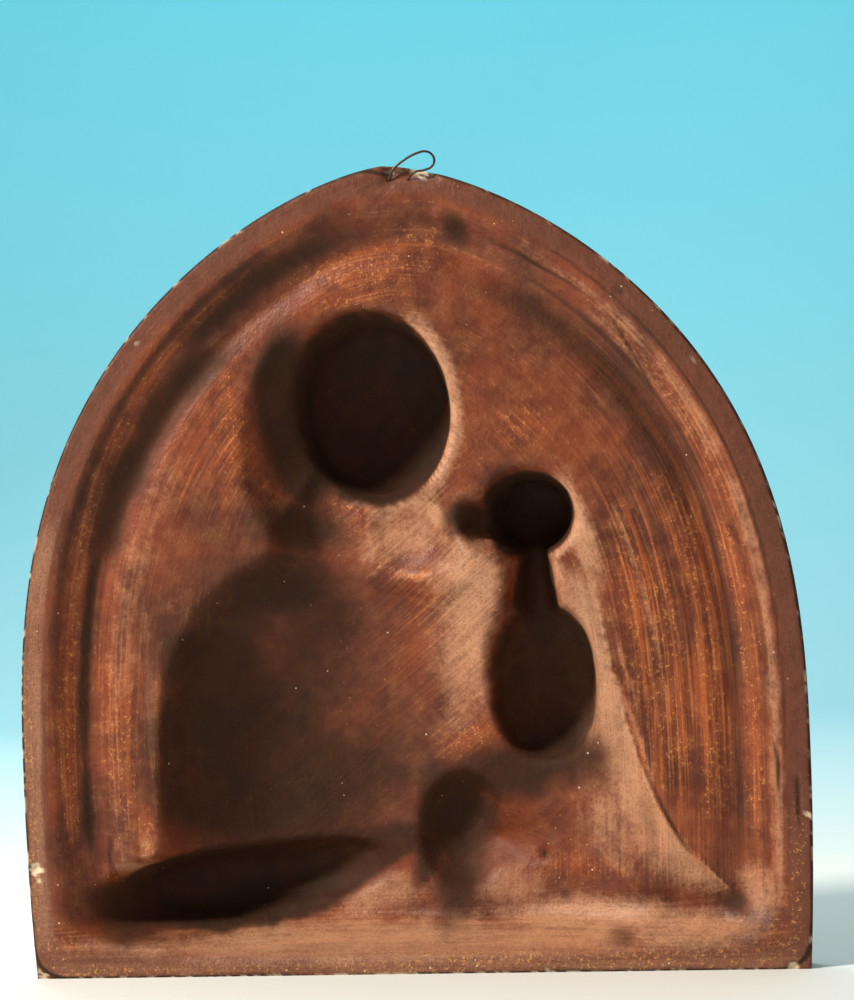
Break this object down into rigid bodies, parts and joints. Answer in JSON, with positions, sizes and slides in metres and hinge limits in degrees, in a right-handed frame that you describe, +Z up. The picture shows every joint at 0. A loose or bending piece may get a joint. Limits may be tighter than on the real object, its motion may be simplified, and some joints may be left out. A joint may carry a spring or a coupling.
{
  "type": "decorative wall plaque",
  "caption": "Arched cast-plaster wall plaque with a mother and child in high relief, hollow behind, hung by a wire loop at its apex.",
  "frame": {"origin": "inside top of the wire loop, where the nail carries it, on the wall plane", "axes": "+Z up, carved front faces -Y, flat rim of the back lies in y = 0 and faces the wall along +Y"},
  "size_m": [0.325, 0.0775, 0.3355],
  "materials": {
    "painted_plaster": "cast plaster brushed with reddish-brown paint, satin where thick; matte plastic stands in for plaster",
    "steel_wire": "dull steel wire with a trace of rust"
  },
  "bodies": {
    "root": {"plaster_plaque": "painted_plaster", "hanging_wire": "steel_wire"}
  },
  "joints": []
}
